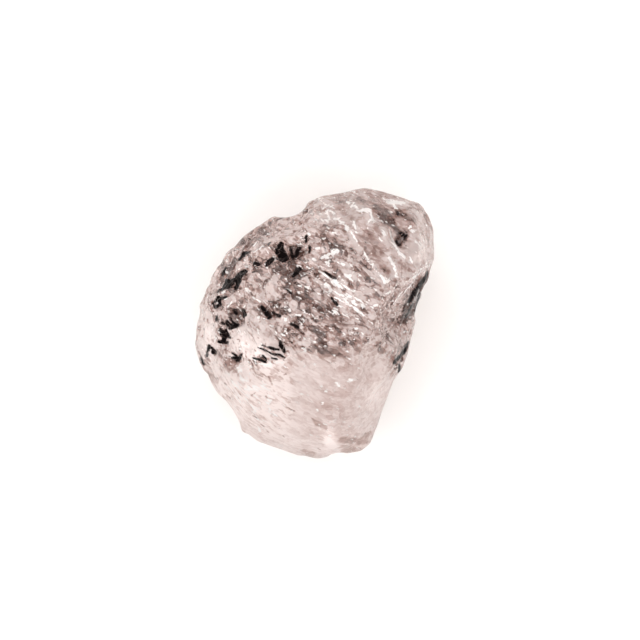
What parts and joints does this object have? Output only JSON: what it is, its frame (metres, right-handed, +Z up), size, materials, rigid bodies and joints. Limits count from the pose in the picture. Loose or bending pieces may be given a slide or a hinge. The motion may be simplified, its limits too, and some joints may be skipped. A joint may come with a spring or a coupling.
{
  "type": "rough morganite crystal",
  "caption": "Loose rough crystal of pale pink see-through beryl, an irregular broken chunk that lies on a flat break across its back.",
  "frame": {"origin": "in the plane of the flat resting face, under the middle of the bounding box", "axes": "+Z up from the resting face towards the broad front of the crystal; +Y along its long way, towards the thick knobbly end; -Y towards the narrow end; +X to the right seen from above"},
  "size_m": [0.019, 0.0216, 0.015],
  "materials": {
    "crystal": "gloss"
  },
  "bodies": {
    "root": {"morganite_crystal": "crystal"}
  },
  "joints": []
}
